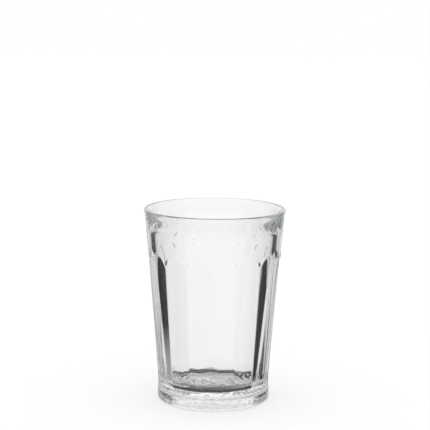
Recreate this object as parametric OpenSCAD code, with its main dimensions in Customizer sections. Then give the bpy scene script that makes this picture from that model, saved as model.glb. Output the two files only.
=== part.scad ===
// Chai glass: a heavy pressed tumbler. A plain band runs under the rim,
// round-topped convex ribs cover the wall, and a plain ring forms the foot.
// The origin is the middle of the foot on the table, +Z is up and -Y is the front.

/* [Glass] */
// Height from the table to the top of the rim
glass_h = 90; // [75:1:130]
// Outer diameter of the plain band at the rim
rim_d = 65; // [62:0.5:76]
// Outer diameter of the foot ring
foot_d = 52.2; // [50:0.2:58]

/* [Rim] */
// Thickness of the rounded lip
lip_t = 1.3; // [1:0.1:2.4]
// How far the lip stands proud of the band
lip_proud = 0.3; // [0.1:0.05:0.6]
// Height over which the inside widens up to the lip
flare_h = 8; // [5:0.2:10]

/* [Ribs] */
// Number of ribs round the wall
rib_count = 16; // [12:1:20]
// Radius of the round face of a rib
rib_r = 11.5; // [8:0.5:20]
// How far the round of a rib would stand past the band, which cuts its crest flat
rib_proud = 0.05; // [0.02:0.01:0.2]
// Height of the plain band above the ribs
band_h = 18.8; // [12:0.2:26]
// Width left between two arches where they start, as a share of a rib's width
arch_gap = 0.05; // [0.02:0.01:0.2]
// Turn of the groove at the front from straight ahead, in degrees
rib_turn = -1.9; // [-11:0.1:11]

/* [Foot] */
// Height of the plain foot ring below the ribs
foot_h = 6; // [5:0.5:9]
// Height at which the upright lower wall starts to widen
waist_h = 11; // [10:0.5:18]
// Radius of the groove between the foot ring and the wall
seam_r = 0.5; // [0.3:0.1:0.8]
// Radius of the outer edge that meets the table
foot_edge_r = 1.4; // [0.8:0.1:2]
// Width of the flat ring that the glass stands on
rest_w = 4; // [2:0.5:6]
// Height of the hollow inside the flat ring
punt_h = 1; // [0.4:0.1:1.6]

/* [Cavity] */
// Thickness of the glass between the cavity and the table
floor_t = 7; // [5:0.5:12]
// Thickness of the wall where the corner of the cavity's floor starts
wall_foot_t = 3.7; // [3.2:0.1:6]
// Thickness of the wall where the flare to the lip starts
wall_top_t = 3.5; // [3:0.1:4.6]
// Radius of the corner between the cavity's wall and floor
cavity_corner_r = 5; // [3:0.5:8]

/* [Hidden] */
$fn = 128;
// Length by which a cutting shape runs past what it cuts
overrun = 1;
// Share of the step from a groove to the crest beside it that its cutter spans
span_share = 0.93;

rim_r = rim_d / 2;
foot_r = foot_d / 2;
lip_r = lip_t / 2;
lip_z = glass_h - lip_r;
lip_centre_r = rim_r + lip_proud - lip_r;

// The band and the ribs share one slope from the waist to the lip
wall_slope = (rim_r - foot_r) / (lip_z - waist_h);
wall_tilt = atan(wall_slope);
function wall_r(z) = foot_r + wall_slope * max(0, z - waist_h);

// Each rib fills one step round the wall, with a groove on either side
rib_step = 360 / rib_count;
half_sin = sin(rib_step / 2);
rib_top_z = glass_h - band_h;
rib_axis_r = foot_r + rib_proud - rib_r;
groove_half_turn = span_share * rib_step / 2;

// A rib ends at the top in a half circle, a little narrower than the rib
arch_share = half_sin * (1 - arch_gap);
arch_r = arch_share * wall_r(rib_top_z) / (1 + arch_share * wall_slope);
arch_z = rib_top_z - arch_r;

// The flare ends inside the round lip, this share of its radius from the middle
lip_start_share = 0.8;

// The cavity tapers from the flare down to the tangent point of its corner
flare_z = lip_z - flare_h;
corner_z = floor_t + cavity_corner_r;
cavity_top_r = wall_r(flare_z) - wall_top_t;
cavity_floor_r = wall_r(corner_z) - wall_foot_t;
cavity_tilt = atan((cavity_top_r - cavity_floor_r) / (flare_z - corner_z));
corner_centre_r = cavity_floor_r - cavity_corner_r / cos(cavity_tilt);
corner_join_r = corner_centre_r + cavity_corner_r * cos(cavity_tilt);
corner_join_z = corner_z - cavity_corner_r * sin(cavity_tilt);
flare_in = lip_centre_r - lip_r * lip_start_share - cavity_top_r;
flare_r = (flare_in * flare_in + flare_h * flare_h) / (2 * flare_in);

// The hollow under the base is a shallow dome
punt_r = foot_r - foot_edge_r - rest_w;
punt_dome_r = (punt_r * punt_r + punt_h * punt_h) / (2 * punt_h);

// Half outline of the outside of the glass, filled up to its axis
module outer_outline() {
    difference() {
        union() {
            square([foot_r - foot_edge_r, waist_h]);
            translate([foot_r - foot_edge_r, foot_edge_r]) circle(foot_edge_r);
            polygon([
                [0, foot_edge_r], [foot_r, foot_edge_r], [foot_r, waist_h],
                [rim_r, lip_z], [0, lip_z]
            ]);
        }
        translate([foot_r, foot_h]) circle(seam_r);
    }
}

// Half outline of the space that holds the tea
module cavity_outline() {
    translate([-overrun, floor_t]) square([corner_centre_r + overrun, cavity_corner_r]);
    translate([corner_centre_r, corner_z]) circle(cavity_corner_r);
    polygon([
        [-overrun, corner_join_z], [corner_join_r, corner_join_z],
        [cavity_top_r, flare_z], [cavity_top_r, lip_z + overrun], [-overrun, lip_z + overrun]
    ]);
    difference() {
        translate([0, flare_z]) square([lip_centre_r, lip_z + overrun - flare_z]);
        translate([cavity_top_r + flare_r, flare_z]) circle(flare_r);
    }
}

// Half outline of the hollow under the base
module punt_outline() {
    intersection() {
        translate([0, punt_h - punt_dome_r]) circle(punt_dome_r, $fn = 1440);
        translate([0, -overrun]) square([punt_r + overrun, punt_h + 2 * overrun]);
    }
}

// Half outline of the plain glass before its ribs are cut
module glass_outline() {
    difference() {
        outer_outline();
        cavity_outline();
    }
    translate([lip_centre_r, lip_z]) circle(lip_r);
}

// Places its children over the rib on each side of a groove that faces the front
module each_side() {
    for (side = [-1, 1])
        rotate([0, 0, side * rib_step / 2]) children();
}

// The round of one rib: upright below the waist, leaning out above it
module rib_round() {
    translate([0, -rib_axis_r, 0]) {
        cylinder(h = waist_h + rib_r, r = rib_r);
        translate([0, 0, waist_h]) rotate([wall_tilt, 0, 0])
            translate([0, 0, -rib_r / 2]) cylinder(h = glass_h, r = rib_r);
    }
}

// The space over one groove from crest to crest, seen from above
module groove_sector() {
    inner = rib_axis_r;
    outer = rim_r + overrun;
    spread = tan(groove_half_turn);
    polygon([
        [inner * spread, -inner], [outer * spread, -outer],
        [-outer * spread, -outer], [-inner * spread, -inner]
    ]);
}

// What stays of the wall between two arches
module spandrel() {
    difference() {
        translate([-rib_r, -rim_r - 2 * overrun, arch_z]) cube([2 * rib_r, rim_r, arch_r + 2 * overrun]);
        each_side() translate([0, 0, arch_z]) rotate([90, 0, 0])
            rotate([0, 0, -90]) cylinder(h = rim_r + 4 * overrun, r = arch_r);
    }
}

// What is cut away between two neighbouring ribs
module groove() {
    difference() {
        translate([0, 0, foot_h]) linear_extrude(rib_top_z + overrun - foot_h) groove_sector();
        each_side() rib_round();
        spandrel();
    }
}

module tumbler() {
    color([0.93, 0.95, 0.95, 0.4])
    difference() {
        rotate_extrude() glass_outline();
        for (i = [0 : rib_count - 1])
            rotate([0, 0, rib_turn + i * rib_step]) groove();
        rotate_extrude() punt_outline();
    }
}

tumbler();
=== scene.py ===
import math

import bpy
import numpy as np
from mathutils import Euler, Matrix


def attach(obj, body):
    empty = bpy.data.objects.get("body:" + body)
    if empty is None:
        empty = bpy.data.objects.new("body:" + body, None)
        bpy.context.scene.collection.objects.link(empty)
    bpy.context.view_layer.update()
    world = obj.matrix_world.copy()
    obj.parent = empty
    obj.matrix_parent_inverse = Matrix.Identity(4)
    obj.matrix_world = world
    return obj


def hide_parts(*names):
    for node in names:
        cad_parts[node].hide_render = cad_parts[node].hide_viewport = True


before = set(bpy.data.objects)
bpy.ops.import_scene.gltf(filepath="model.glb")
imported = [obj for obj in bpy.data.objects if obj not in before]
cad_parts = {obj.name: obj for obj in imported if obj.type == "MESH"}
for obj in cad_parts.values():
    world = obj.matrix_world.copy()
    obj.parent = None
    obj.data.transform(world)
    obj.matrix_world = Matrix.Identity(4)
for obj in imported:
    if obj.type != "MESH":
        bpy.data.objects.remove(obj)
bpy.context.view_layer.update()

# Lengths of the glass are in millimetres, as in the part's source, and its mesh is made in metres
MM = 0.001

# Outside of the glass
GLASS_H = 90.0
RIM_R = 32.5
FOOT_R = 26.1
WAIST_H = 11.0
FOOT_H = 6.0
FOOT_EDGE_R = 1.4

# Groove between the foot ring and the wall
SEAM_DEPTH = 0.5
SEAM_WIDTH = 0.45

# Round lip, and the swell that leads up to it from this far below its middle
LIP_R = 0.65
LIP_PROUD = 0.3
LIP_Z = GLASS_H - LIP_R
LIP_CENTRE_R = RIM_R + LIP_PROUD - LIP_R
SWELL_DROP = 2.1
SWELL_H = 1.6

# Ribs: their number and round, how far their crests pass the band's line, and the turn of the front groove
RIB_COUNT = 16
RIB_R = 13.5
RIB_PROUD = -0.08
RIB_TURN = math.radians(-1.9)
HALF_STEP = math.pi / RIB_COUNT
GROOVE_ROUND = 0.2

# Arches: the height of their tops, how far their ends drop and how squarely, and how softly all ends fade
ARCH_TOP_Z = 71.2
ARCH_DROP = 5.0
ARCH_POWER = 3.0
ARCH_SOFT = 2.2
FOOT_SOFT = 0.8

# Cavity: its cone runs through two radii, and its flare bends out from the cone to the lip.
# Refraction shows its place strongly, so these sizes follow the dark streaks in the photograph.
FLOOR_T = 7.0
CORNER_R = 5.0
CAVITY_FLOOR_R = 21.3
CAVITY_TOP_R = 28.15
CAVITY_TOP_Z = 81.35
CAVITY_SHIFT = -0.25
FLARE_H = 10.0
FLARE_END_R = LIP_CENTRE_R - LIP_R
FLARE_BEND = 0.75

# Underside: a flat ring round a shallow hollow
REST_W = 4.0
PUNT_R = FOOT_R - FOOT_EDGE_R - REST_W
PUNT_H = 1.0

# Mesh columns for each rib, and mesh rings in each stretch from the underside to the cavity's floor
COLUMNS_PER_RIB = 30
PUNT_RINGS = 12
REST_RINGS = 2
EDGE_RINGS = 9
LIP_RINGS = 12
FLARE_RINGS = 24
CONE_RINGS = 15
CORNER_RINGS = 14
FLOOR_RINGS = 4

# Stretches up the outside: the height where each ends and its rings, closest at the seam and the arches
OUTSIDE_STRETCHES = ((8.0, 33), (62.0, 18), (74.0, 43), (LIP_Z, 19))


def steps(start, end, count):
    """Evenly spaced values from just past start up to end."""
    return np.linspace(start, end, count + 1)[1:]


def smooth_step(t):
    """Rises smoothly from 0 to 1 as t does."""
    t = np.clip(t, 0.0, 1.0)
    return t * t * (3.0 - 2.0 * t)


def smooth_max(a, b, width):
    """The larger of a and b, with a round of about this width where they cross."""
    h = np.clip(0.5 + 0.5 * (a - b) / width, 0.0, 1.0)
    return b + (a - b) * h + width * h * (1.0 - h)


def wall_radius(z):
    """Radius of the plain wall: upright below the waist, then widening to the lip."""
    slope = (RIM_R - FOOT_R) / (LIP_Z - WAIST_H)
    return np.where(z < WAIST_H, FOOT_R, FOOT_R + slope * (z - WAIST_H))


def rib_radius(turn, z):
    """Radius of the ribs, and how far across a rib this is, from 0 at its crest to 1 in the groove."""
    axis_r = wall_radius(z) + RIB_PROUD - RIB_R
    nearest = np.mod(turn - RIB_TURN, 2.0 * HALF_STEP) - HALF_STEP
    neighbour = 2.0 * HALF_STEP - np.abs(nearest)

    def round_face(angle):
        half_chord = np.sqrt(np.maximum(RIB_R**2 - (axis_r * np.sin(angle)) ** 2, 0.0))
        return axis_r * np.cos(angle) + half_chord

    radius = smooth_max(round_face(nearest), round_face(neighbour), GROOVE_ROUND)
    return radius, np.abs(nearest) / HALF_STEP


def outer_radius(turn, z):
    """Radius of the outside of the glass at a turn round its axis and a height."""
    band = wall_radius(z)
    rib, across = rib_radius(turn, z)
    arch_z = ARCH_TOP_Z - ARCH_DROP * across**ARCH_POWER
    under_arch = smooth_step((arch_z - z) / ARCH_SOFT + 0.5)
    over_foot = smooth_step((z - FOOT_H) / FOOT_SOFT + 0.5)
    radius = band + (np.minimum(rib, band) - band) * (under_arch * over_foot)
    edge_z = np.clip(z, 0.0, FOOT_EDGE_R)
    radius = radius - FOOT_EDGE_R + np.sqrt(FOOT_EDGE_R**2 - (FOOT_EDGE_R - edge_z) ** 2)
    radius = radius - SEAM_DEPTH * np.exp(-(((z - FOOT_H) / SEAM_WIDTH) ** 2))
    return radius + LIP_PROUD * smooth_step((z - (LIP_Z - SWELL_DROP)) / SWELL_H)


def base_rings():
    """Radius and height across the underside, from near its middle out to the foot's edge."""
    edge_r = FOOT_R - FOOT_EDGE_R
    rings = [(edge_r + (PUNT_R - edge_r) * t, 0.0) for t in steps(0.0, 1.0, REST_RINGS)]
    for t in steps(1.0, 0.0, PUNT_RINGS + 1)[:-1]:
        rings.append((PUNT_R * t, PUNT_H * (1.0 - t * t)))
    return rings[::-1]


def outside_rings(turn):
    """Radii and height up the outside, from the table to the middle of the lip."""
    heights = [FOOT_EDGE_R * (1.0 - np.cos(np.linspace(0.0, math.pi / 2.0, EDGE_RINGS)))]
    start = FOOT_EDGE_R
    for end, count in OUTSIDE_STRETCHES:
        heights.append(steps(start, end, count))
        start = end
    heights = np.concatenate(heights)
    turns, zs = np.meshgrid(turn, heights)
    return list(zip(outer_radius(turns, zs), heights))


def lip_rings():
    """Radius and height over the round of the lip."""
    angles = steps(0.0, math.pi, LIP_RINGS)
    return [(LIP_CENTRE_R + LIP_R * math.cos(q), LIP_Z + LIP_R * math.sin(q)) for q in angles]


def cavity_rings():
    """Radius and height down the inside, from just below the lip to near the floor's middle."""
    flare_z = LIP_Z - FLARE_H
    corner_z = FLOOR_T + CORNER_R
    slope = (CAVITY_TOP_R - CAVITY_FLOOR_R) / (CAVITY_TOP_Z - FLOOR_T - CORNER_R)

    def cone(z):
        return CAVITY_TOP_R + slope * (z - CAVITY_TOP_Z)

    flare_in = FLARE_END_R - cone(LIP_Z)
    rings = []
    for t in steps(1.0, 0.0, FLARE_RINGS):
        z = flare_z + FLARE_H * t
        bend = t * t * (1.0 + FLARE_BEND * (1.0 - t))
        rings.append((cone(z) + flare_in * bend, z))
    for z in steps(flare_z, corner_z, CONE_RINGS):
        rings.append((cone(z), z))
    floor_r = CAVITY_FLOOR_R - CORNER_R
    for q in steps(0.0, math.pi / 2.0, CORNER_RINGS):
        rings.append((floor_r + CORNER_R * math.cos(q), FLOOR_T + CORNER_R * (1.0 - math.sin(q))))
    for t in steps(1.0, 0.0, FLOOR_RINGS + 1)[:-1]:
        rings.append((floor_r * t, FLOOR_T))
    return rings


def glass_points(turn):
    """Rings of points across the underside, up the outside, over the lip and down the inside."""
    shell = base_rings() + outside_rings(turn) + lip_rings()
    inside = cavity_rings()
    shifts = [0.0] * len(shell)
    shifts += [CAVITY_SHIFT * smooth_step((LIP_Z - z) / FLARE_H) for _, z in inside]
    points = []
    for (radius, z), shift in zip(shell + inside, shifts):
        x = shift + radius * np.sin(turn)
        y = -radius * np.cos(turn)
        points.append(np.stack([x, y, np.full_like(turn, z)], axis=1))
    return np.stack(points)


def ring_faces(count, columns):
    """Faces between neighbouring rings, and fans that close the first and the last ring."""
    index = np.arange(count * columns).reshape(count, columns)
    beside = np.roll(index, -1, axis=1)
    quads = np.stack([index[:-1], beside[:-1], beside[1:], index[1:]], axis=-1).reshape(-1, 4)
    faces = quads.tolist()
    first_pole = count * columns
    last_pole = first_pole + 1
    faces += [(first_pole, b, a) for a, b in zip(index[0].tolist(), beside[0].tolist())]
    faces += [(last_pole, a, b) for a, b in zip(index[-1].tolist(), beside[-1].tolist())]
    return faces


def glass_mesh():
    """The whole glass as one closed mesh with smooth shading."""
    columns = COLUMNS_PER_RIB * RIB_COUNT
    turn = np.linspace(0.0, 2.0 * math.pi, columns, endpoint=False)
    rings = glass_points(turn)
    poles = np.array([[0.0, 0.0, PUNT_H], [CAVITY_SHIFT, 0.0, FLOOR_T]])
    points = np.concatenate([rings.reshape(-1, 3), poles]) * MM
    mesh = bpy.data.meshes.new("chai_glass")
    mesh.from_pydata(points.tolist(), [], ring_faces(len(rings), columns))
    mesh.validate()
    mesh.shade_smooth()
    return mesh


class Nodes:
    """Short calls that add nodes to the tree of one material or world."""

    def __init__(self, tree):
        self.tree = tree
        tree.nodes.clear()

    def feed(self, socket, value):
        """Links an input to a node's output, or sets it to a plain value."""
        if isinstance(value, bpy.types.NodeSocket):
            self.tree.links.new(value, socket)
        elif value is not None:
            socket.default_value = value

    def add(self, kind, inputs=None, **settings):
        """Adds a node with these settings and these values or links for its inputs."""
        node = self.tree.nodes.new(kind)
        for name, value in settings.items():
            setattr(node, name, value)
        for name, value in (inputs or {}).items():
            self.feed(node.inputs[name], value)
        return node

    def calc(self, operation, first, *others, clamp=False):
        """One operation on a value alone, or on it and each of the others in turn."""
        for other in others or (None,):
            node = self.add("ShaderNodeMath", operation=operation, use_clamp=clamp)
            self.feed(node.inputs[0], first)
            self.feed(node.inputs[1], other)
            first = node.outputs[0]
        return first

    def ramp(self, value, start, end):
        """Rises from 0 at start to 1 at end, or falls where end is below start."""
        return self.calc("DIVIDE", self.calc("SUBTRACT", value, start), end - start, clamp=True)

    def axes(self, coordinates):
        """The X, Y and Z outputs of a texture coordinate."""
        place = self.add("ShaderNodeTexCoord").outputs[coordinates]
        return self.add("ShaderNodeSeparateXYZ", {"Vector": place}).outputs

    def passed(self, depth, times):
        """1 for rays whose depth of this kind in Light Path is times or more, and 0 for others."""
        path = self.add("ShaderNodeLightPath")
        return self.calc("GREATER_THAN", path.outputs[depth], times - 0.5)


WHITE = (1.0, 1.0, 1.0, 1.0)

# Glass, faintly green in its depth
GLASS_IOR = 1.52
ABSORB_COLOUR = (0.55, 0.75, 0.68, 1.0)
ABSORB_DENSITY = 1.0

# Long upright waves all over the glass: their depth in metres and how fine they are along each axis
DRAW_DEPTH = 0.00002
DRAW_STRETCH = (260.0, 260.0, 9.0)

# Uneven waves of the mould low in the base, which fade out round this height in metres
WAVE_DEPTH = 0.0004
WAVE_SCALE = 230.0
WAVE_TOP = 0.014
WAVE_FADE = 0.006


def glass_material():
    """Clear pressed glass with the slight waves of its mould."""
    material = bpy.data.materials.new("clear_glass")
    material.use_nodes = True
    n = Nodes(material.node_tree)
    place = n.add("ShaderNodeTexCoord").outputs["Object"]
    stretched = n.add("ShaderNodeMapping", {"Vector": place, "Scale": DRAW_STRETCH})
    draw = n.add("ShaderNodeTexNoise", {"Vector": stretched.outputs[0], "Scale": 1.0, "Detail": 1.0})
    wave = n.add("ShaderNodeTexNoise", {"Vector": place, "Scale": WAVE_SCALE, "Detail": 2.0})
    low = n.ramp(n.axes("Object")["Z"], WAVE_TOP + WAVE_FADE, WAVE_TOP - WAVE_FADE)
    drawn = n.calc("MULTIPLY", draw.outputs["Fac"], DRAW_DEPTH)
    waved = n.calc("MULTIPLY", wave.outputs["Fac"], WAVE_DEPTH, low)
    bump = n.add("ShaderNodeBump", {"Distance": 1.0, "Height": n.calc("ADD", drawn, waved)})
    shader = n.add("ShaderNodeBsdfPrincipled", {
        "Base Color": WHITE,
        "Roughness": 0.0,
        "IOR": GLASS_IOR,
        "Transmission Weight": 1.0,
        "Normal": bump.outputs[0],
    })
    absorb = n.add("ShaderNodeVolumeAbsorption", {"Color": ABSORB_COLOUR, "Density": ABSORB_DENSITY})
    n.add("ShaderNodeOutputMaterial", {"Surface": shader.outputs[0], "Volume": absorb.outputs[0]})
    return material


def build_glass():
    """The glass that is seen in place of the CAD solid."""
    glass = bpy.data.objects.new("chai_glass", glass_mesh())
    bpy.context.scene.collection.objects.link(glass)
    glass.data.materials.append(glass_material())
    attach(glass, "root")
    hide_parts("tumbler")


# The studio is white as the camera sees it, and the next four groups are what the glass mirrors.
# Turns are in degrees round the glass from straight behind it, and heights in degrees above the table.
DEGREES = 180.0 / math.pi

# A bright backdrop: half its width and its height, with half the width of each soft edge
WINDOW_HALF = 36.0
WINDOW_SOFT = 4.0
WINDOW_UP = 28.0
WINDOW_UP_SOFT = 4.0

# Dark sides, and grey in front
SIDE_GREY = 0.01
FRONT_FROM = 110.0
FRONT_TO = 130.0
FRONT_GREY = 0.8

# A dim light from above
TOP_FROM = 18.0
TOP_TO = 28.0
TOP_GREY = 0.2

# Least that a ray mirrored twice or more sees of the sky and of the floor
TWICE_SKY = 0.55
TWICE_FLOOR = 0.9

# Through the glass the backdrop fades slightly to its sides, and the sky above it is darker
EDGE_FROM = 6.0
EDGE_TO = 24.0
EDGE_SHADE = 0.035
HIGH_FROM = 15.0
HIGH_TO = 35.0
HIGH_SHADE = 0.6


def turn_from_back(n, axes):
    """Degrees round the glass from straight behind it."""
    return n.calc("ABSOLUTE", n.calc("MULTIPLY", n.calc("ARCTAN2", axes["X"], axes["Y"]), DEGREES))


def light_around(n, around):
    """Brightness by the turn round the glass: bright behind it, dark beside it, grey in front."""
    window = n.ramp(around, WINDOW_HALF + WINDOW_SOFT, WINDOW_HALF - WINDOW_SOFT)
    front = n.calc("MULTIPLY", n.ramp(around, FRONT_FROM, FRONT_TO), FRONT_GREY)
    return n.calc("MAXIMUM", window, front, SIDE_GREY)


def shown(n, around, high, mirrored, twice_grey):
    """What a ray sees: white, a little less through glass, or mirrored once the glass has mirrored it."""
    mirrored = n.calc("MAXIMUM", mirrored, n.calc("MULTIPLY", n.passed("Glossy Depth", 2), twice_grey))
    edge = n.calc("MULTIPLY", n.ramp(around, EDGE_FROM, EDGE_TO), EDGE_SHADE)
    undiffused = n.calc("SUBTRACT", 1.0, n.passed("Diffuse Depth", 1))
    shade = n.calc("MAXIMUM", edge, n.calc("MULTIPLY", undiffused, high, HIGH_SHADE))
    plain = n.calc("SUBTRACT", 1.0, n.calc("MULTIPLY", n.passed("Transmission Depth", 1), shade))
    change = n.calc("SUBTRACT", mirrored, plain)
    return n.calc("ADD", plain, n.calc("MULTIPLY", n.passed("Glossy Depth", 1), change))


def build_world():
    """The soft light all round the glass."""
    world = bpy.data.worlds.new("studio")
    world.use_nodes = True
    bpy.context.scene.world = world
    n = Nodes(world.node_tree)
    axes = n.axes("Generated")
    around = turn_from_back(n, axes)
    up = n.calc("MULTIPLY", n.calc("ARCSINE", axes["Z"]), DEGREES)
    low = n.ramp(up, WINDOW_UP + WINDOW_UP_SOFT, WINDOW_UP - WINDOW_UP_SOFT)
    beside = n.calc("MULTIPLY", light_around(n, around), low)
    above = n.calc("MULTIPLY", n.ramp(up, TOP_FROM, TOP_TO), TOP_GREY)
    mirrored = n.calc("MAXIMUM", beside, above, SIDE_GREY)
    strength = shown(n, around, n.ramp(up, HIGH_FROM, HIGH_TO), mirrored, TWICE_SKY)
    background = n.add("ShaderNodeBackground", {"Color": WHITE, "Strength": strength})
    n.add("ShaderNodeOutputWorld", {"Surface": background.outputs[0]})


# Floor, in metres: it lies just below the foot, so that the two never touch
FLOOR_HALF = 3.0
FLOOR_Z = -0.0002
FLOOR_COLOUR = 0.42
FLOOR_GLOW = 0.6

# Painted light on the floor, seen only in the glass's reflections: light in a ring round the foot, and
# grey farther out on its left
RING_R = 0.036
RING_SOFT = 0.006
RING_GREY = 0.9
LEFT_R = 0.06
LEFT_SOFT = 0.06
LEFT_FADE = 0.01
LEFT_GREY = 0.5

# Painted shadow on the floor, seen through the glass: dark under the foot, and close to it after this many
# surfaces
UNDER_R = 0.0255
UNDER_SOFT = 0.0005
UNDER_SHADE = 0.92
CLOSE_SURFACES = 3
CLOSE_R = 0.03
CLOSE_SOFT = 0.001
CLOSE_SHADE = 0.95


def floor_light(n):
    """Painted light and shade on the floor: what a ray sees of it, as a share of its full brightness."""
    axes = n.axes("Object")
    around = turn_from_back(n, axes)
    across = n.calc("MULTIPLY", axes["X"], axes["X"])
    along = n.calc("MULTIPLY", axes["Y"], axes["Y"])
    away = n.calc("SQRT", n.calc("ADD", across, along))
    # Painted light and shade on the floor for rays the glass mirrored: bright behind, dark beside, grey in
    # front, a light ring round the foot and grey on its left
    ring = n.calc("MULTIPLY", n.ramp(away, RING_R + RING_SOFT, RING_R), RING_GREY)
    left = n.calc("MULTIPLY", n.ramp(away, LEFT_R + LEFT_SOFT, LEFT_R), n.ramp(axes["X"], 0.0, -LEFT_FADE))
    mirrored = n.calc("MAXIMUM", light_around(n, around), ring, n.calc("MULTIPLY", left, LEFT_GREY))
    light = shown(n, around, 0.0, mirrored, TWICE_FLOOR)
    # Painted shadow under and close to the foot, for rays that came through the glass
    under = n.calc("MULTIPLY", n.ramp(away, UNDER_R + UNDER_SOFT, UNDER_R), UNDER_SHADE)
    under = n.calc("MULTIPLY", under, n.passed("Transmission Depth", 1))
    close = n.calc("MULTIPLY", n.ramp(away, CLOSE_R + CLOSE_SOFT, CLOSE_R), CLOSE_SHADE)
    close = n.calc("MULTIPLY", close, n.passed("Transmission Depth", CLOSE_SURFACES))
    painted_shadow = n.calc("MAXIMUM", close, under)
    return n.calc("MULTIPLY", light, n.calc("SUBTRACT", 1.0, painted_shadow))


def build_floor():
    """A pale floor that glows faintly though it is no lamp, with painted light and shade in its glow and
    its colour.
    """
    mesh = bpy.data.meshes.new("floor")
    s = FLOOR_HALF
    mesh.from_pydata([(-s, -s, 0.0), (s, -s, 0.0), (s, s, 0.0), (-s, s, 0.0)], [], [(0, 1, 2, 3)])
    floor = bpy.data.objects.new("floor", mesh)
    floor.location.z = FLOOR_Z
    bpy.context.scene.collection.objects.link(floor)
    material = bpy.data.materials.new("floor")
    material.use_nodes = True
    n = Nodes(material.node_tree)
    light = floor_light(n)
    # The painted light and shade scale both the floor's glow and its colour
    glow = n.add("ShaderNodeEmission", {"Strength": n.calc("MULTIPLY", light, FLOOR_GLOW)})
    paint = n.add("ShaderNodeBsdfDiffuse", {"Color": n.calc("MULTIPLY", light, FLOOR_COLOUR)})
    both = n.add("ShaderNodeAddShader")
    n.feed(both.inputs[0], glow.outputs[0])
    n.feed(both.inputs[1], paint.outputs[0])
    n.add("ShaderNodeOutputMaterial", {"Surface": both.outputs[0]})
    mesh.materials.append(material)


# Camera, from the photograph: its frame is 430 pixels wide
FRAME_PX = 430.0
FOCAL_PX = 1515.0
SENSOR_MM = 36.0
CAMERA_PLACE = (0.0001, -0.693, 0.1973)
CAMERA_DOWN = math.radians(9.07)
CAMERA_ROLL = math.radians(0.55)


def build_camera():
    """The camera at the photograph's place, tilt and focal length."""
    data = bpy.data.cameras.new("camera")
    data.sensor_width = SENSOR_MM
    data.lens = SENSOR_MM * FOCAL_PX / FRAME_PX
    camera = bpy.data.objects.new("camera", data)
    bpy.context.scene.collection.objects.link(camera)
    camera.location = CAMERA_PLACE
    tilt = Euler((math.pi / 2.0 - CAMERA_DOWN, 0.0, 0.0)).to_matrix()
    camera.rotation_euler = (tilt @ Matrix.Rotation(CAMERA_ROLL, 3, "Z")).to_euler()
    bpy.context.scene.camera = camera


# Light passes many surfaces in the thick base before it leaves the glass
BOUNCES = 32

build_glass()
build_world()
build_floor()
build_camera()
scene = bpy.context.scene
scene.view_settings.view_transform = "Standard"
scene.cycles.max_bounces = BOUNCES
scene.cycles.glossy_bounces = BOUNCES
scene.cycles.transmission_bounces = BOUNCES
